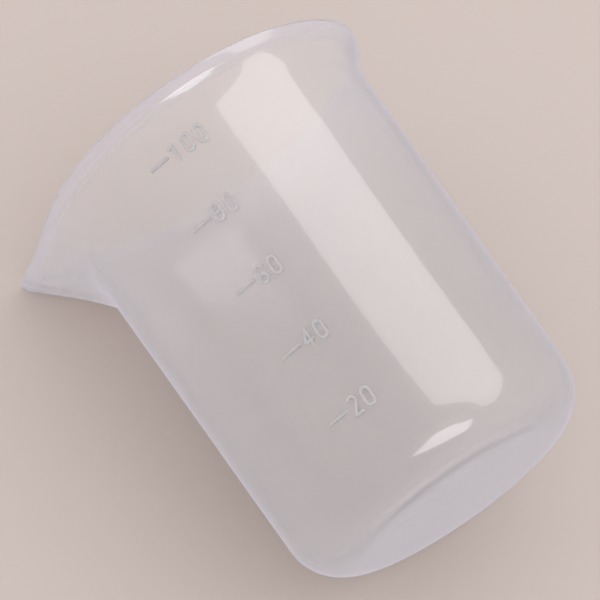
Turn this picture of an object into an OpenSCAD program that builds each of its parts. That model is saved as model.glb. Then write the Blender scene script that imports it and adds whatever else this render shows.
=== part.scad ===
// Resin mixing cup of about 100 ml: a tapered round body with a rounded foot, a flared
// mouth drawn out into one pouring spout, and a raised scale on the outside of the wall.
// The cup stands on the plane z = 0 with its axis on Z, and the spout points along +X.

/* [Body] */
// Outer diameter just above the rounded foot
base_d = 48.4; // [40:0.1:60]
// Outer diameter where the plain wall ends below the flare
wall_top_d = 50.5; // [42:0.1:64]
// Height of the plain rim above the surface that the cup stands on
body_h = 67.5; // [60:0.5:90]
// Radius of the rounding between the wall and the flat foot
foot_round = 7.7; // [4:0.1:9]
// Thickness of the wall
wall_t = 1; // [0.9:0.05:2]
// Thickness of the floor
floor_t = 1.5; // [0.9:0.05:3]

/* [Mouth] */
// Outer diameter of the plain rim
rim_d = 55.5; // [50:0.1:70]
// Depth below the rim at which the flare leaves the wall
flare_h = 6.5; // [5:0.1:10]
// Depth below the rim of the corner that the flare bends round
flare_bend = 3.9; // [2.5:0.1:4.5]
// Height of the band round the edge of the rim
lip_h = 1.6; // [0.5:0.1:2.4]
// Distance by which the band's lower edge lies inside its upper edge
lip_lean = 0.5; // [0:0.1:0.8]
// Width of the rim across its top
lip_w = 0.9; // [0.6:0.05:1.2]
// Radius of the rounding at the top of the rim
lip_round = 0.35; // [0.1:0.05:0.5]

/* [Spout] */
// Distance from the cup's axis to the tip of the spout
spout_reach = 39.2; // [34:0.1:48]
// Height of the spout's tip above the plain rim
spout_rise = 3.5; // [0:0.1:8]
// Depth below the rim at which the spout starts to leave the wall
spout_depth = 15.6; // [14:0.1:17]
// Depth below the rim of the corner that the spout bends round
spout_bend = 11.5; // [9:0.1:13.5]
// Angle from the tip at which the spout runs out into the plain rim
spout_half_angle = 85; // [60:1:100]
// How narrow and pointed the spout is, seen from above
spout_point = 5.9; // [2:0.1:6]
// How quickly the spout rises towards its tip
spout_sweep = 2.7; // [2:0.1:5]

/* [Scale] */
// Angle from the spout to the first figure of each number
scale_angle = 102; // [100:1:150]
// Height of a figure
figure_h = 3; // [2:0.1:4]
// Width of a figure
figure_w = 1.6; // [1.2:0.1:2.2]
// Distance from the middle of one figure to the middle of the next
figure_pitch = 2.2; // [1.8:0.1:3]
// Width of the strokes of the figures and of the lines
stroke_w = 0.36; // [0.25:0.01:0.5]
// Height of the figures and lines above the wall
relief = 0.3; // [0.15:0.05:0.5]
// Length of a scale line
line_len = 3.4; // [2:0.1:8]
// Space between a line and the number beside it
line_space = 0.5; // [0.4:0.1:2]

/* [Hidden] */

// Fineness of the round faces
$fn = 96;
// Rings of the mouth round the cup, and steps along its flare
mouth_sides = 120;
flare_steps = 9;
// How much closer the sides of the mouth lie near the spout than at the back
side_crowding = 0.6;
// Half width in degrees of the rounding at the spout's tip, and along its keel below
tip_soft = 2.2;
keel_soft = 7;
// Depth by which the mouth stands in the top of the body, as much again from there up to the
// spout's bend, and the mouth's clearance in the body
join_depth = 0.6;
join_clear = 0.01;
// Marks of the scale, and the multiple in millilitres to which their spacing is rounded
scale_marks = 5;
round_volume = 5;

// Heights of the body: where the mouth starts, and where the plain flare starts
join_z = body_h - spout_depth - 2 * join_depth;
flare_z = body_h - flare_h;
// Rise of the wall's outer radius for each millimetre of height
wall_slope = (wall_top_d - base_d) / 2 / (flare_z - foot_round);
// Radius of the rounding inside, between the wall and the floor
floor_round = foot_round - wall_t;

// Outer radius of the plain wall at the height z
function wall_r(z) = base_d / 2 + wall_slope * (z - foot_round);

// Volume missing from the inside because its lower edge is rounded off. The corner left
// outside the rounding has its middle at this share of the radius from the wall
corner_mid = 1 - 1 / 6 / (1 - PI / 4);
floor_r = wall_r(floor_t) - wall_t;
corner_loss = 2 * PI * (floor_r - corner_mid * floor_round) * (1 - PI / 4) * pow(floor_round, 2);

// Volume in millilitres of the liquid up to the height z, a cone less that corner, and the
// height of the liquid's surface for the volume ml
function fill_volume(z) =
    (PI / 3 / wall_slope * (pow(floor_r + wall_slope * (z - floor_t), 3) - pow(floor_r, 3))
    - corner_loss) / 1000;
function fill_z(ml) =
    let (vol = ml * 1000 + corner_loss)
    floor_t + (pow(3 * wall_slope * vol / PI + pow(floor_r, 3), 1 / 3) - floor_r) / wall_slope;

// Volume between two marks: the roundest at which the top mark stays below the flare
scale_step = round_volume * floor(fill_volume(flare_z) / scale_marks / round_volume);

// Most by which a straight side of the mouth falls short of a true circle
side_gap = wall_r(join_z) * (1 - cos(180 * (1 + side_crowding) / mouth_sides));

// Share of the spout that is left at the angle a from its tip: 1 at the tip, rounded off
// over the angle soft, and falling to 0 where the spout ends, faster with a higher power
function softened(a, soft) = min(1, sqrt(a * a + soft * soft) / spout_half_angle);
function share(a, power, soft) =
    pow((1 - softened(a, soft)) / (1 - softened(0, soft)), power);

// Rim radius and rim height at the angle a from the spout's tip
function rim_r(a) = rim_d / 2 + (spout_reach - rim_d / 2) * share(a, spout_point, tip_soft);
function rim_z(a) = body_h + spout_rise * share(a, spout_sweep, tip_soft);

// Slant of the rim seen from above: a slanted wall has to be offset further along its
// radius to keep its thickness
function rim_turn(a) =
    spout_point * (spout_reach - rim_d / 2) / (spout_half_angle * PI / 180)
    * pow(1 - min(1, abs(a) / spout_half_angle), spout_point - 1);
function slant(a) = sqrt(1 + pow(rim_turn(a) / rim_r(a), 2));

// The bend of the mouth at the angle a is drawn by three points: where it leaves the
// wall, the corner that it turns round, and the lower edge of the rim band
function bend_start(a) =
    let (z = body_h - flare_h - (spout_depth - flare_h) * share(a, spout_sweep, keel_soft))
    [wall_r(z), z];
function bend_corner(a) =
    let (z = body_h - flare_bend - (spout_bend - flare_bend) * share(a, spout_sweep, keel_soft))
    [wall_r(z), z];
function bend_end(a) = [rim_r(a) - lip_lean, rim_z(a) - lip_h];

// The same three points of the inside, which lies a wall's thickness behind them
function inner_start(a) = bend_start(a) - [wall_t, 0];
function inner_corner(a) =
    let (rise = bend_end(a) - bend_corner(a), tilt = atan2(rise[1], rise[0]))
    bend_corner(a) + [-wall_t, wall_t * (1 - sin(tilt)) / cos(tilt)];
function inner_end(a) = [rim_r(a) - lip_w * slant(a), rim_z(a)];

// Point at the share s along the bend through the points p, q and r
function bend(p, q, r, s) = pow(1 - s, 2) * p + 2 * s * (1 - s) * q + s * s * r;

// Section of the mouth at the angle a, as radius and height, from its foot up the
// outside, over the rim and down the inside
function mouth_section(a) = concat(
    [[wall_r(join_z) - join_clear, join_z]],
    [for (i = [0:flare_steps])
        bend(bend_start(a), bend_corner(a), bend_end(a), i / flare_steps)],
    [for (t = [0:45:90])
        [rim_r(a) - lip_round * (1 - cos(t)), rim_z(a) - lip_round * (1 - sin(t))]],
    [for (i = [flare_steps:-1:0])
        bend(inner_start(a), inner_corner(a), inner_end(a), i / flare_steps)],
    [[wall_r(join_z) - wall_t + side_gap + join_clear, join_z]]
);

// Angle of side number i, closer together near the spout at angle 0
function side_angle(i) =
    let (u = 2 * i / mouth_sides - 1)
    180 * (u - side_crowding * sin(180 * u) / PI);

// Flared mouth with its spout, as a ring of sections
module mouth() {
    rows = [for (i = [0:mouth_sides - 1]) mouth_section(side_angle(i))];
    n = len(rows[0]);
    points = [for (i = [0:mouth_sides - 1]) for (p = rows[i])
        [p[0] * cos(side_angle(i)), p[0] * sin(side_angle(i)), p[1]]];
    faces = [for (i = [0:mouth_sides - 1]) for (j = [0:n - 1])
        let (k = (i + 1) % mouth_sides, m = (j + 1) % n)
        [i * n + j, i * n + m, k * n + m, k * n + j]];
    polyhedron(points, faces, convexity = 4);
}

// Solid of the tapered body up to the height top, with its outer faces moved in by inset
// and its lower edge rounded to the radius edge
module tapered_body(bottom, top, inset, edge) {
    rotate_extrude()
        intersection() {
            union() {
                polygon([
                    [0, bottom + edge],
                    [wall_r(bottom + edge) - inset, bottom + edge],
                    [wall_r(top) - inset, top],
                    [0, top]
                ]);
                translate([0, bottom])
                    square([wall_r(bottom + edge) - inset - edge, 2 * edge]);
                translate([wall_r(bottom + edge) - inset - edge, bottom + edge])
                    circle(r = edge);
            }
            translate([0, bottom])
                square([base_d, top - bottom]);
        }
}

module cup_body() {
    color([0.9, 0.9, 0.92, 0.6])
        union() {
            difference() {
                tapered_body(0, join_z + join_depth, 0, foot_round);
                tapered_body(floor_t, join_z + join_depth + 1, wall_t, floor_round);
            }
            mouth();
        }
}

// Straight stroke from the point p to the point q, with round ends
module stroke(p, q) {
    run = q - p;
    translate(p) circle(d = stroke_w);
    translate(q) circle(d = stroke_w);
    translate(p) rotate(atan2(run[1], run[0]))
        translate([0, -stroke_w / 2]) square([norm(run), stroke_w]);
}

// Round stroke of the middle radius r about the point c, all the way round
module ring(c, r) {
    translate(c)
        difference() {
            circle(r = r + stroke_w / 2);
            circle(r = r - stroke_w / 2);
        }
}

// Half ring of the middle radius r about the point c, on the side that turn points to
module half_ring(c, r, turn) {
    intersection() {
        ring(c, r);
        translate(c) rotate(turn)
            translate([0, -2 * r]) square([2 * r, 4 * r]);
    }
}

// Middle lines of a figure: half its width and half its height, without the stroke
half_w = (figure_w - stroke_w) / 2;
half_h = (figure_h - stroke_w) / 2;
// Height of the middle of a figure's round end
end_y = half_h - half_w;

// Parts that the figures share: the round ends, the bars and the two halves of each side
module top_bow() { half_ring([0, end_y], half_w, 90); }
module foot_bow() { half_ring([0, -end_y], half_w, -90); }
module bar(y) { stroke([-half_w, y], [half_w, y]); }
module side(x, y) { stroke([x, 0], [x, y]); }

module figure_0() {
    top_bow();
    foot_bow();
    stroke([-half_w, -end_y], [-half_w, end_y]);
    stroke([half_w, -end_y], [half_w, end_y]);
}

module figure_1() {
    stroke([0, -half_h], [0, half_h]);
    stroke([0, half_h], [-half_w, half_h - half_w]);
}

module figure_2() {
    // The bow is turned a little so that it runs on into the slanting stroke
    bow_turn = 65;
    half_ring([0, end_y], half_w, bow_turn);
    stroke([0, end_y] + half_w * [sin(bow_turn), -cos(bow_turn)], [-half_w, -half_h]);
    bar(-half_h);
}

module figure_3() {
    top_bow();
    foot_bow();
    stroke([0, 0], [half_w, 0]);
    side(half_w, end_y);
    side(half_w, -end_y);
}

module figure_4() {
    stroke([half_w / 2, -half_h], [half_w / 2, half_h]);
    stroke([half_w / 2, half_h], [-half_w, -half_h / 3]);
    bar(-half_h / 3);
}

module figure_5() {
    bar(half_h);
    side(-half_w, half_h);
    bar(0);
    side(half_w, -end_y);
    foot_bow();
}

module figure_6() {
    ring([0, -end_y], half_w);
    stroke([-half_w, -end_y], [-half_w, end_y]);
    top_bow();
}

module figure_7() {
    bar(half_h);
    stroke([half_w, half_h], [-half_w / 2, -half_h]);
}

module figure_8() {
    figure_0();
    bar(0);
}

module figure_9() {
    rotate(180) figure_6();
}

module figure(digit) {
    if (digit == 0) figure_0();
    if (digit == 1) figure_1();
    if (digit == 2) figure_2();
    if (digit == 3) figure_3();
    if (digit == 4) figure_4();
    if (digit == 5) figure_5();
    if (digit == 6) figure_6();
    if (digit == 7) figure_7();
    if (digit == 8) figure_8();
    if (digit == 9) figure_9();
}

// Outside of the wall away from the spout, from the foot to the rim band, as radius and
// height, moved out by lift
function outside(lift) = concat(
    [[wall_r(foot_round) + lift, foot_round]],
    [for (i = [0:flare_steps])
        bend(bend_start(180), bend_corner(180), bend_end(180), i / flare_steps) + [lift, 0]]
);

// Thin skin all over the outside of the wall, as high as what is raised on it
module wall_skin() {
    rotate_extrude()
        difference() {
            polygon(concat([[0, foot_round]], outside(relief), [[0, body_h - lip_h]]));
            polygon(concat([[0, foot_round]], outside(0), [[0, body_h - lip_h]]));
        }
}

// The children, drawn flat as read from outside, raised on the wall at the height z
// and at the angle a
module raised(a, z) {
    intersection() {
        wall_skin();
        translate([0, 0, z]) rotate(a)
            translate([wall_r(z) - wall_t / 2, 0, 0]) rotate([90, 0, 90])
                linear_extrude(wall_t) children();
    }
}

// Angle taken up by a length along the wall at the height z
function arc_angle(length, z) = length / wall_r(z) * 180 / PI;

// Number beside mark number i of the scale, counted from the foot: its first figure is at
// the scale's angle and the rest to its right
module scale_number(i) {
    digits = [for (c = str(i * scale_step)) ord(c) - ord("0")];
    z = fill_z(i * scale_step);
    color([0.95, 0.95, 0.97])
        for (k = [0:len(digits) - 1])
            raised(scale_angle + arc_angle(k * figure_pitch, z), z)
                figure(digits[k]);
}

// Line of mark number i of the scale, to the left of its number
module scale_line(i) {
    z = fill_z(i * scale_step);
    middle = figure_w / 2 + line_space + line_len / 2;
    color([0.95, 0.95, 0.97])
        raised(scale_angle - arc_angle(middle, z), z)
            square([line_len, stroke_w], center = true);
}

cup_body();
scale_number(1);  // scale_number_1
scale_number(2);  // scale_number_2
scale_number(3);  // scale_number_3
scale_number(4);  // scale_number_4
scale_number(5);  // scale_number_5
scale_line(1);  // scale_line_1
scale_line(2);  // scale_line_2
scale_line(3);  // scale_line_3
scale_line(4);  // scale_line_4
scale_line(5);  // scale_line_5
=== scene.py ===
# %% [markdown]
# # A small milky mixing cup
#
# This notebook dresses a moulded plastic cup: a tapered cup with a rounded foot, a flared rim,
# one pouring spout and a raised scale. The cup is one wall of see-through polypropylene, so its
# look comes from three things: a smooth, closed surface, a plastic that scatters light inside
# its wall, and a large soft window for its gloss to reflect.

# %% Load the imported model
import math

import bpy
import numpy as np
from mathutils import Matrix, Vector


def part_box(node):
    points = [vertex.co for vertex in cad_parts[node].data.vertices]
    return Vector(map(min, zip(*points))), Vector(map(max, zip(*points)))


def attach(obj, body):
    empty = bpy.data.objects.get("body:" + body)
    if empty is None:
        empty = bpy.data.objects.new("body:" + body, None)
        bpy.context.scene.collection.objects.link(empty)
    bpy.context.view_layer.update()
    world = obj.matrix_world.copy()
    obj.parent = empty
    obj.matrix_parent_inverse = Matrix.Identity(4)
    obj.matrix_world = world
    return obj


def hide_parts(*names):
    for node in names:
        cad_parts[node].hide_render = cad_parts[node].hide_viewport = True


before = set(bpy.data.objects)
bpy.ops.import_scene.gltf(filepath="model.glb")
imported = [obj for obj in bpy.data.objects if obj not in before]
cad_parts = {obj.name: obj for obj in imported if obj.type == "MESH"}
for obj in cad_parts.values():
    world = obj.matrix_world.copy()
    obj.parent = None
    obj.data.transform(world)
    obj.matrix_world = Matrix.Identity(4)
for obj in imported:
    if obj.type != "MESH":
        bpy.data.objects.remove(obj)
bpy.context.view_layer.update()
print("CAD nodes:", sorted(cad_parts))

# %% [markdown]
# ## Sizes
#
# The cup stands on z = 0 with its axis on Z and its spout towards +X. All lengths are in
# metres. They are the same driving sizes as in the construction, so the drawn surface lies
# exactly where the solid is.

# %% Driving sizes of the cup
MM = 0.001
base_d = 48.4 * MM
wall_top_d = 50.5 * MM
body_h = 67.5 * MM
foot_round = 7.7 * MM
wall_t = 1.0 * MM
floor_t = 1.5 * MM
rim_d = 55.5 * MM
flare_h = 6.5 * MM
flare_bend = 3.9 * MM
lip_h = 1.6 * MM
lip_lean = 0.5 * MM
lip_w = 0.9 * MM
lip_round = 0.35 * MM
spout_reach = 39.2 * MM
spout_rise = 3.5 * MM
spout_depth = 15.6 * MM
spout_bend = 11.5 * MM
spout_half_angle = 85.0
spout_point = 5.9
spout_sweep = 2.7
tip_soft = 2.2
keel_soft = 7.0

wall_slope = (wall_top_d - base_d) / 2 / (body_h - flare_h - foot_round)
cup_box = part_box("cup_body")
print("cup body, low and high corner in mm:", [[round(v / MM, 2) for v in c] for c in cup_box])

# %% [markdown]
# ## The surface of the cup
#
# A mould maker would turn the body on a lathe and cut the spout by hand. Here one function of
# two parameters gives the whole skin: the angle round the cup, and the way along a section that
# runs from the middle of the foot up the outside, over the rim and down the inside to the
# middle of the floor. Only the mouth depends on the angle, through a share that is 1 at the
# spout's tip and falls to 0 where the spout runs out into the plain rim.

# %% Functions of the angle
def wall_r(z):
    """Outer radius of the plain wall: a straight taper through the base diameter."""
    return base_d / 2 + wall_slope * (z - foot_round)


def spout_share(angle, power, soft):
    """One less the angle's part of the spout's half angle, raised to a power, scaled to 1 at
    the tip. The square root of angle squared plus soft squared rounds off the tip."""
    def left(a):
        return 1 - np.minimum(1, np.sqrt(a * a + soft * soft) / spout_half_angle)
    return (left(angle) / left(np.float64(0))) ** power


def bend(p, q, r, s):
    """Quadratic curve from p to r, pulled towards q, at the share s."""
    return (1 - s) ** 2 * p + 2 * s * (1 - s) * q + s * s * r


def arc(start, end, steps):
    """Angles in radians from start to end, both in degrees, one a row."""
    return np.radians(np.linspace(start, end, steps))[:, None]

# %% [markdown]
# The section is drawn as columns of radius and height, one column an angle. Each stretch of it
# is one line of code: disc, arc, straight wall, bend, lip and the same again for the inside.
# The plastic is thick in the rim's band and in the foot, and looks milkier there. So the
# section also says how milky each ring is, from 0 in the plain wall to 1 at the rim.

# %% The section as a function of the angle
arc_rows = 17
wall_rows = 13
flare_rows = 33
band_rows = 4
edge_rows = 7
disc_rows = 9
inner_edge = 0.3 * MM
milk_fade = 2.0 * MM
foot_milk = 0.6


def cup_section(angle):
    """Radius, height and milk along the section, one row a ring, for an array of angles in
    degrees from the spout. The outside is the driving sizes as they are, and the inside lies
    one wall's thickness within it."""
    one = np.ones_like(angle)
    reach = spout_share(angle, spout_point, tip_soft)
    rise = spout_share(angle, spout_sweep, tip_soft)
    keel = spout_share(angle, spout_sweep, keel_soft)
    rim_r = rim_d / 2 + (spout_reach - rim_d / 2) * reach
    rim_z = body_h + spout_rise * rise
    leave_z = body_h - flare_h - (spout_depth - flare_h) * keel
    corner_z = body_h - flare_bend - (spout_bend - flare_bend) * keel
    lip_z = rim_z - lip_h
    band_r = rim_r - lip_lean

    # A slanted wall is offset further along its radius to keep its thickness.
    left = 1 - np.minimum(1, np.abs(angle) / spout_half_angle)
    turn = spout_point * (spout_reach - rim_d / 2) / math.radians(spout_half_angle)
    slant = np.sqrt(1 + (turn * left ** (spout_point - 1) / rim_r) ** 2)
    tilt = np.arctan2(lip_z - corner_z, band_r - wall_r(corner_z))
    inner_corner_z = corner_z + wall_t * (1 - np.sin(tilt)) / np.cos(tilt)
    inner_rim_r = rim_r - lip_w * slant

    foot_r = wall_r(foot_round) - foot_round
    floor_round = foot_round - wall_t
    floor_r = wall_r(foot_round - wall_t + floor_t) - wall_t - floor_round
    up, down = arc(0, 90, arc_rows), arc(90, 0, arc_rows)
    flare = np.linspace(0, 1, flare_rows)[:, None]
    straight = np.linspace(0, 1, wall_rows)[1:, None]
    lip = np.linspace(0, 1, band_rows)[1:, None]
    corner = arc(0, 90, edge_rows)
    disc = np.linspace(0, 1, disc_rows)[1:-1, None]
    inner_z = floor_t + floor_round + (leave_z - floor_t - floor_round) * straight[::-1]
    outer_z = foot_round + (leave_z - foot_round) * straight
    top_r = rim_r - lip_round
    inner_top_z = rim_z - inner_edge

    parts = [
        (disc * foot_r * one, 0 * disc * one),
        ((foot_r + foot_round * np.sin(up)) * one, (foot_round - foot_round * np.cos(up)) * one),
        (wall_r(outer_z[:-1]), outer_z[:-1]),
        (bend(wall_r(leave_z), wall_r(corner_z), band_r, flare),
         bend(leave_z, corner_z, lip_z, flare)),
        (band_r + lip_lean * lip, lip_z + (lip_h - lip_round) * lip),
        (top_r + lip_round * np.cos(corner[1:]), rim_z - lip_round + lip_round * np.sin(corner[1:])),
        (inner_rim_r + inner_edge * (1 - np.sin(corner)), inner_top_z + inner_edge * np.cos(corner)),
        (bend(inner_rim_r, wall_r(corner_z) - wall_t, wall_r(leave_z) - wall_t, flare[1:]),
         bend(inner_top_z, inner_corner_z, leave_z, flare[1:])),
        (wall_r(inner_z[1:]) - wall_t, inner_z[1:]),
        ((floor_r + floor_round * np.sin(down)) * one,
         (floor_t + floor_round - floor_round * np.cos(down)) * one),
        (disc[::-1] * floor_r * one, (floor_t + 0 * disc) * one),
    ]
    radius = np.vstack([np.broadcast_to(p[0], (len(p[0]), len(angle))) for p in parts])
    height = np.vstack([np.broadcast_to(p[1], (len(p[1]), len(angle))) for p in parts])

    # The milk is 1 in the band of the rim and fades below it. It is weaker in the foot.
    below_band = np.clip((lip_z - height) / milk_fade, 0, 1)
    above_foot = np.clip(height / foot_round, 0, 1)
    milk = np.maximum(1 - below_band, foot_milk * (1 - above_foot)) ** 2
    return radius, height, milk

# %% [markdown]
# The rings are closer together near the spout's tip, where the surface turns quickly. The two
# ends of the section are closed with one vertex each, in the middle of the foot and of the
# floor, so the skin is one watertight shell.

# %% Build the mesh from the grid
def crowded_angles(count, crowding):
    """Angles from -180 to 180 degrees, a sine wave closer together at 0 than at the back."""
    u = np.arange(count) / count * 2 - 1
    return 180 * (u - crowding * np.sin(np.pi * u) / np.pi)


def shell_mesh(name, radius, height, milk, angle, low_pole, high_pole):
    """Closed shell from rings of radius and height: a vertex is the radius turned by its angle,
    at its height. A fan of triangles closes each pole. The milk of each vertex is kept as an
    attribute for the material."""
    rows, cols = radius.shape
    theta = np.radians(angle)
    grid = np.stack([radius * np.cos(theta), radius * np.sin(theta), height], -1)
    points = np.vstack([grid.reshape(-1, 3), [[0, 0, low_pole], [0, 0, high_pole]]])
    i, j = np.meshgrid(np.arange(rows - 1), np.arange(cols), indexing="ij")
    k = (j + 1) % cols
    quads = np.stack([i * cols + j, i * cols + k, (i + 1) * cols + k, (i + 1) * cols + j], -1)
    ring = np.arange(cols)
    following = (ring + 1) % cols
    last = (rows - 1) * cols
    low_fan = np.stack([following, ring, np.full(cols, rows * cols)], -1)
    high_fan = np.stack([last + ring, last + following, np.full(cols, rows * cols + 1)], -1)
    faces = quads.reshape(-1, 4).tolist() + low_fan.tolist() + high_fan.tolist()
    mesh = bpy.data.meshes.new(name)
    mesh.from_pydata(points.tolist(), [], faces)
    mesh.polygons.foreach_set("use_smooth", np.ones(len(faces), bool))
    cloud = mesh.attributes.new("milk", "FLOAT", "POINT")
    cloud.data.foreach_set("value", np.append(milk.ravel(), [milk[0, 0], milk[-1, 0]]))
    mesh.update()
    return mesh


angle_count = 420
spout_crowding = 0.6
cup_angles = crowded_angles(angle_count, spout_crowding)
section_r, section_z, section_milk = cup_section(cup_angles)
cup_mesh = shell_mesh("cup", section_r, section_z, section_milk, cup_angles, 0.0, floor_t)
cup = bpy.data.objects.new("cup", cup_mesh)
bpy.context.scene.collection.objects.link(cup)
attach(cup, "root")
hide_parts("cup_body")
print("cup surface:", section_r.shape, "rings and angles,", len(cup_mesh.polygons), "faces")

# %% [markdown]
# ## The plastic
#
# Polypropylene lets light through but scatters it: what touches the wall shows, what is further
# off turns to haze, and the surface keeps a clear gloss. Rough transmission gives the haze, a
# share of diffuse white gives the milk, and a clear coat gives the crisp window reflection.
# Two noises take away the look of a computed thing: a slow one varies the colour and the haze,
# and a finer one ripples the skin, so that the edges of the window waver in it.

# %% A helper for node materials
def new_material(name):
    """Material with an empty Principled shader, and a function that adds and links nodes."""
    material = bpy.data.materials.new(name)
    material.use_nodes = True
    tree = material.node_tree
    shader = tree.nodes["Principled BSDF"]

    def node(kind, inputs=(), **settings):
        made = tree.nodes.new(kind)
        for key, value in settings.items():
            setattr(made, key, value)
        for key, value in dict(inputs).items():
            if isinstance(value, bpy.types.NodeSocket):
                tree.links.new(value, made.inputs[key])
            else:
                made.inputs[key].default_value = value
        return made

    return material, shader, node

# %% Milky polypropylene
flow_scale = 45.0
flow_shade = 0.975
haze_swing = 0.03
ripple_scale = 110.0
milk_tint = (0.93, 0.905, 0.955, 1)
milk_clarity = 0.85
plastic_ior = 1.49


def milky_plastic(name, base, transmission, roughness, ripple_depth, coat):
    """Rough see-through plastic under a clear coat, with faint flow marks in its colour and
    haze, and a skin that rises and falls by a noise a few hundredths of a millimetre high. Where
    the mesh is milky it lets less light through and leans to lavender."""
    material, shader, node = new_material(name)
    place = node("ShaderNodeTexCoord").outputs["Object"]
    flow = node("ShaderNodeTexNoise", {"Vector": place, "Scale": flow_scale, "Detail": 2.0})
    shades = node("ShaderNodeValToRGB", {"Fac": flow.outputs["Fac"]})
    shades.color_ramp.elements[0].position = 0.3
    shades.color_ramp.elements[0].color = [v * flow_shade for v in base] + [1]
    shades.color_ramp.elements[1].position = 0.7
    shades.color_ramp.elements[1].color = list(base) + [1]
    haze = node("ShaderNodeMapRange", {"Value": flow.outputs["Fac"],
                                       "To Min": roughness - haze_swing,
                                       "To Max": roughness + haze_swing})
    ripple = node("ShaderNodeTexNoise", {"Vector": place, "Scale": ripple_scale, "Detail": 3.0,
                                         "Roughness": 0.5})
    relief = node("ShaderNodeBump", {"Height": ripple.outputs["Fac"], "Strength": 1.0,
                                     "Distance": ripple_depth})
    cloud = node("ShaderNodeAttribute", attribute_name="milk").outputs["Fac"]
    clouded = node("ShaderNodeMixRGB", {"Fac": cloud, "Color1": shades.outputs["Color"],
                                        "Color2": milk_tint})
    passing = node("ShaderNodeMapRange", {"Value": cloud, "To Min": transmission,
                                          "To Max": transmission * milk_clarity})
    links = material.node_tree.links
    links.new(clouded.outputs["Color"], shader.inputs["Base Color"])
    links.new(haze.outputs["Result"], shader.inputs["Roughness"])
    links.new(passing.outputs["Result"], shader.inputs["Transmission Weight"])
    links.new(relief.outputs["Normal"], shader.inputs["Normal"])
    links.new(relief.outputs["Normal"], shader.inputs["Coat Normal"])
    shader.inputs["IOR"].default_value = plastic_ior
    shader.inputs["Coat Weight"].default_value = coat
    shader.inputs["Coat Roughness"].default_value = 0.03
    shader.inputs["Coat IOR"].default_value = 1.5
    return material


cup_plastic = milky_plastic("milky_polypropylene", base=(0.99, 0.977, 0.985), transmission=0.8,
                            roughness=0.15, ripple_depth=0.06 * MM, coat=1.0)
cup.data.materials.append(cup_plastic)
print("cup material:", cup_plastic.name)

# %% [markdown]
# ## The scale
#
# The figures and lines are part of the same moulding, but the mould is left rougher there, so
# they look a shade paler than the wall and don't mirror the window. The construction's own
# solids are kept and get that finish. They have no milk attribute, which reads as none.

# %% Frosted figures and lines
scale_plastic = milky_plastic("frosted_scale", base=(0.86, 0.86, 0.875), transmission=0.6,
                              roughness=0.6, ripple_depth=0.02 * MM, coat=0.0)
scale_nodes = [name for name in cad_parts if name.startswith("scale_")]
for name in scale_nodes:
    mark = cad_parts[name]
    mark.data.materials.clear()
    mark.data.materials.append(scale_plastic)
print("scale marks:", len(scale_nodes))

# %% [markdown]
# ## The table and the floor
#
# In the photograph the cup lies on its side, so the table is a plane close to the spout's tip
# and the foot. The cup is also looked at upright, so there is a second plane under its foot.
# Neither touches the cup, because a plane in the foot's own surface would cut its disc. Each is
# clear from behind and casts no shadow on the other side.

# %% Helpers for the plain shaders of the stage
def cleared_tree(owner):
    """Nodes and links of a material or world, with its tree emptied."""
    owner.use_nodes = True
    owner.node_tree.nodes.clear()
    return owner.node_tree.nodes, owner.node_tree.links


def plain_shader(nodes, kind, colour):
    """Output of a shader of one colour."""
    made = nodes.new(kind)
    made.inputs["Color"].default_value = list(colour) + [1]
    return made.outputs[0]


def mixed(nodes, links, factor, first, second):
    """Output of a mix that is the first shader at a factor of 0 and the second one at 1."""
    mix = nodes.new("ShaderNodeMixShader")
    links.new(factor, mix.inputs["Fac"])
    links.new(first, mix.inputs[1])
    links.new(second, mix.inputs[2])
    return mix.outputs["Shader"]

# %% Stage planes
table_normal = Vector((0.7194, -0.6921, -0.0585)).normalized()
spout_tip = Vector((spout_reach, 0, body_h + spout_rise - lip_round))
table_gap = 0.3 * MM
floor_gap = 0.1 * MM
stage_size = 6
floor_colour = (0.645, 0.56, 0.515)


def one_sided(name, colour):
    """Plain matt surface seen from its front, and nothing from its back."""
    material = bpy.data.materials.new(name)
    nodes, links = cleared_tree(material)
    front = plain_shader(nodes, "ShaderNodeBsdfDiffuse", colour)
    clear = nodes.new("ShaderNodeBsdfTransparent").outputs["BSDF"]
    behind = nodes.new("ShaderNodeNewGeometry").outputs["Backfacing"]
    out = nodes.new("ShaderNodeOutputMaterial")
    links.new(mixed(nodes, links, behind, front, clear), out.inputs["Surface"])
    return material


def stage_plane(name, point, normal, size, material):
    """Square of the given size through a point, facing along the normal."""
    turn = normal.to_track_quat("Z", "Y").to_matrix().to_4x4()
    mesh = bpy.data.meshes.new(name)
    half = size / 2
    mesh.from_pydata([(-half, -half, 0), (half, -half, 0), (half, half, 0), (-half, half, 0)],
                     [], [(0, 1, 2, 3)])
    mesh.transform(Matrix.Translation(point) @ turn)
    mesh.materials.append(material)
    plane = bpy.data.objects.new(name, mesh)
    bpy.context.scene.collection.objects.link(plane)
    plane.visible_shadow = False
    plane.visible_diffuse = False
    plane.visible_glossy = False
    return plane


pale = one_sided("pale_floor", floor_colour)
table_point = spout_tip + table_normal * table_gap
table = stage_plane("table", table_point, -table_normal, stage_size, pale)
floor = stage_plane("floor", Vector((0, 0, -floor_gap)), Vector((0, 0, 1)), stage_size, pale)
floor.visible_transmission = False
print("stage planes:", table.name, "and", floor.name)

# %% [markdown]
# ## Light
#
# Most of the light is an even world, and a soft lamp above the table gives the shadow its side.
# What the glossy wall shows is a window. It is cut out as flat panes, drawn by the directions in
# which the cup sees their corners. Only gloss and see-through plastic see them, so they give a
# clean reflection and add no light to the table. Through the plastic they are dimmer and warmer,
# so that the cup doesn't glow where it stands before them.

# %% World and soft lamp
def direction(azimuth, elevation):
    """Unit vector at an angle round the cup from +X and an angle above the horizon."""
    a, e = math.radians(azimuth), math.radians(elevation)
    return Vector((math.cos(a) * math.cos(e), math.sin(a) * math.cos(e), math.sin(e)))


cup_middle = Vector((0, 0, body_h / 2))


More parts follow.
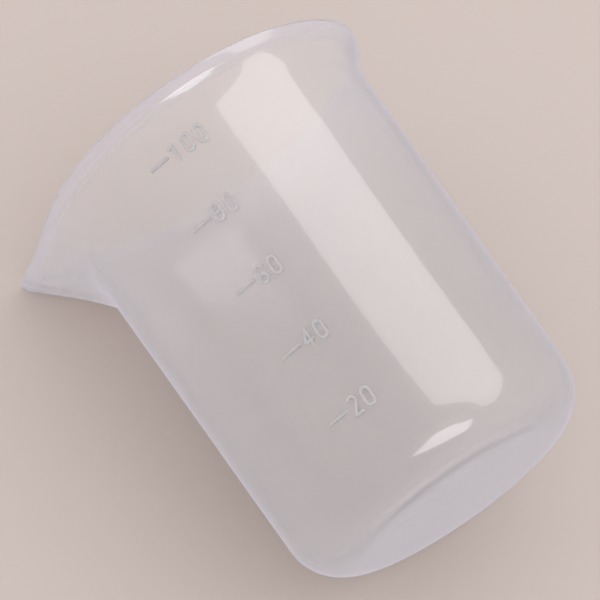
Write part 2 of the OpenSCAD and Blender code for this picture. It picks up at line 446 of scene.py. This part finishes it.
def soft_lamp(name, azimuth, elevation, distance, size, radiance):
    """Square lamp facing the cup. A lamp's power is its radiance times pi times its area."""
    data = bpy.data.lights.new(name, "AREA")
    data.size = size
    data.energy = radiance * math.pi * size * size
    lamp = bpy.data.objects.new(name, data)
    towards = direction(azimuth, elevation)
    lamp.location = cup_middle + towards * distance
    lamp.rotation_euler = towards.to_track_quat("Z", "Y").to_euler()
    lamp.visible_camera = False
    lamp.visible_glossy = False
    bpy.context.scene.collection.objects.link(lamp)
    return lamp


def studio_world(light, gloss_colour, seen_colour):
    """World that lights matt surfaces with the first colour, shows the second one to gloss and
    the third one, the floor's, to the camera and to light that comes through the plastic."""
    made = bpy.data.worlds.new("studio")
    nodes, links = cleared_tree(made)
    path = nodes.new("ShaderNodeLightPath")
    shown = plain_shader(nodes, "ShaderNodeBackground", light)
    for ray, colour in (("Is Glossy Ray", gloss_colour), ("Is Camera Ray", seen_colour),
                        ("Is Transmission Ray", seen_colour)):
        other = plain_shader(nodes, "ShaderNodeBackground", colour)
        shown = mixed(nodes, links, path.outputs[ray], shown, other)
    links.new(shown, nodes.new("ShaderNodeOutputWorld").inputs["Surface"])
    return made


lamp = soft_lamp("soft_lamp", azimuth=160, elevation=-5, distance=1.0, size=0.8, radiance=0.4)
bpy.context.scene.world = studio_world(light=(0.985, 0.97, 0.985), gloss_colour=(0.6, 0.56, 0.61),
                                       seen_colour=(0.66, 0.575, 0.53))
print("soft lamp, watts:", round(lamp.data.energy, 2))

# %% Window panes for the gloss
window_distance = 1.0
window_glow = [1.97 * v for v in (1.0, 0.985, 1.01)]
low_distance = 0.3
low_glow = [3.6 * v for v in (0.97, 0.96, 1.0)]
glow_through_plastic = (1.3, 1.1, 1.0)
foot_side = Vector((-12, 19.5, 3.3)) * MM


def window_pane(name, corners, seen_from, distance, glow):
    """Glowing sheet with its corners in the given directions, as seen from a point."""
    points = [seen_from + direction(*corner) * distance for corner in corners]
    mesh = bpy.data.meshes.new(name)
    mesh.from_pydata([tuple(p) for p in points], [], [tuple(range(len(points)))])
    material = bpy.data.materials.new(name)
    nodes, links = cleared_tree(material)
    bright = plain_shader(nodes, "ShaderNodeEmission", glow)
    dim = plain_shader(nodes, "ShaderNodeEmission", glow_through_plastic)
    through = nodes.new("ShaderNodeLightPath").outputs["Is Transmission Ray"]
    out = nodes.new("ShaderNodeOutputMaterial")
    links.new(mixed(nodes, links, through, bright, dim), out.inputs["Surface"])
    mesh.materials.append(material)
    pane = bpy.data.objects.new(name, mesh)
    bpy.context.scene.collection.objects.link(pane)
    pane.visible_camera = False
    pane.visible_diffuse = False
    pane.visible_shadow = False
    return pane


panes = [
    window_pane("upper_pane", [(131, 45), (131, 12), (188, 7), (188, 45)],
                cup_middle, window_distance, window_glow),
    window_pane("lower_pane", [(131, 12), (145, -3), (158, -18), (166, -34), (181, -34), (188, 7)],
                cup_middle, window_distance, window_glow),
    window_pane("low_pane", [(98, -47), (123, -36), (140, -38), (164, -46), (168, -60), (136, -61)],
                foot_side, low_distance, low_glow),
]
print("window panes:", [pane.name for pane in panes])

# %% [markdown]
# ## Camera
#
# The camera stands a little below the cup's foot and looks up at its side, tilted so that the
# cup leans across the picture.

# %% Camera at the photograph's angle
camera_place = Vector((-0.13704, 0.34520, -0.07507))
camera_target = Vector((0.00193, 0.00077, 0.03823))
camera_roll = -0.6154
camera_lens = 157.28
sensor_width = 36
camera_data = bpy.data.cameras.new("camera")
camera_data.lens = camera_lens
camera_data.sensor_width = sensor_width
camera_data.clip_start, camera_data.clip_end = 0.01, 20
camera = bpy.data.objects.new("camera", camera_data)
look = (camera_target - camera_place).to_track_quat("-Z", "Y").to_matrix().to_4x4()
camera.matrix_world = Matrix.Translation(camera_place) @ look @ Matrix.Rotation(camera_roll, 4, "Z")
bpy.context.scene.collection.objects.link(camera)
bpy.context.scene.camera = camera
bpy.context.scene.view_settings.view_transform = "Standard"
print("camera distance in mm:", round((camera_target - camera_place).length / MM, 1))
